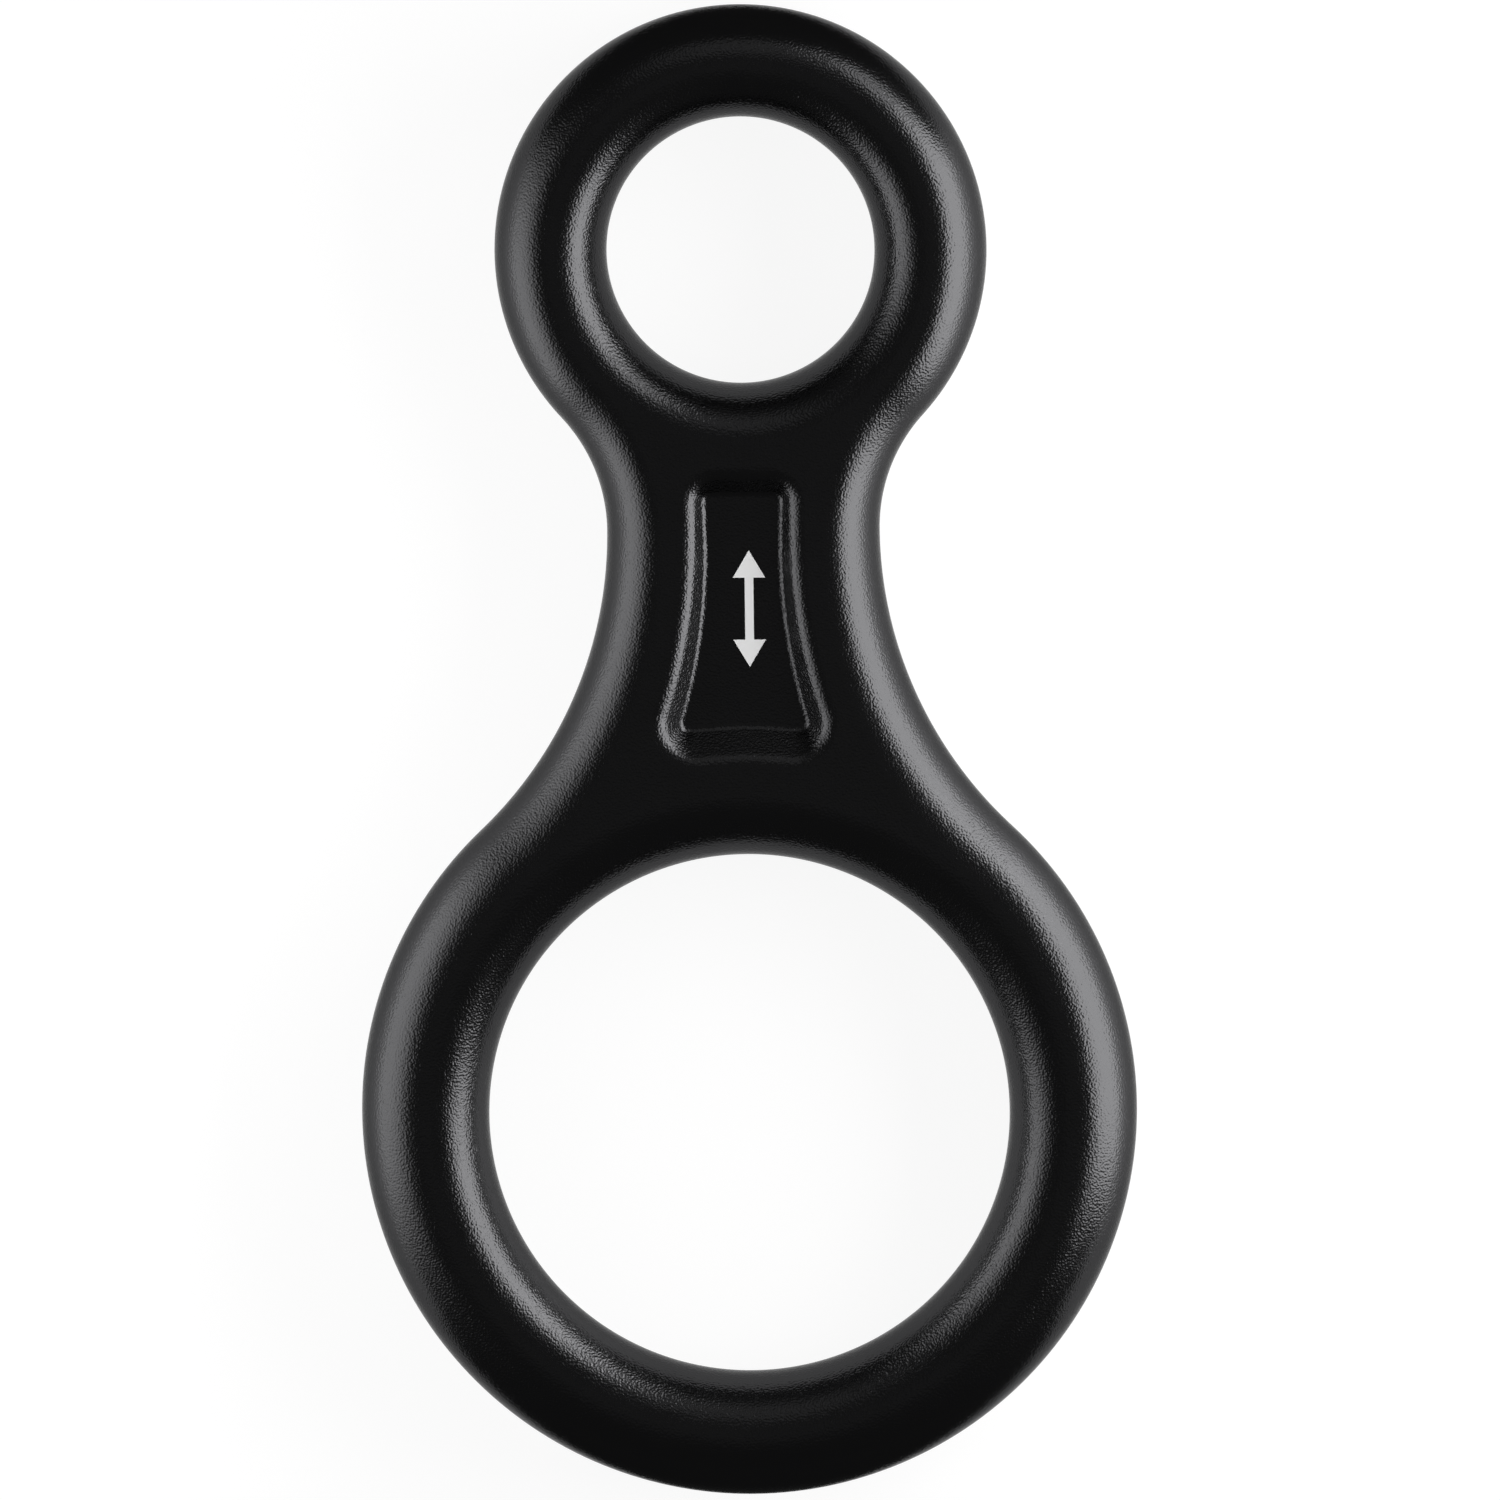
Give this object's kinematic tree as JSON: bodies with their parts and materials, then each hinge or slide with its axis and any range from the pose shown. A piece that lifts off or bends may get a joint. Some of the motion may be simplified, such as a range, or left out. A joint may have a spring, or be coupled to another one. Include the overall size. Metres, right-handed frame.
{
  "type": "figure eight descender",
  "caption": "Forged figure eight descender with a small connector eye, a large rope eye and a flat web with a sunk panel on each face.",
  "frame": {"origin": "middle of the length and width, on the plane that the forging lies on", "axes": "+Y along the length towards the small eye, +X across the width, +Z out of the front face"},
  "size_m": [0.0622, 0.12, 0.011],
  "materials": {
    "black_anodised": "satin black anodised over a fine tumbled surface"
  },
  "bodies": {
    "root": {"descender_body": "black_anodised"}
  },
  "joints": []
}
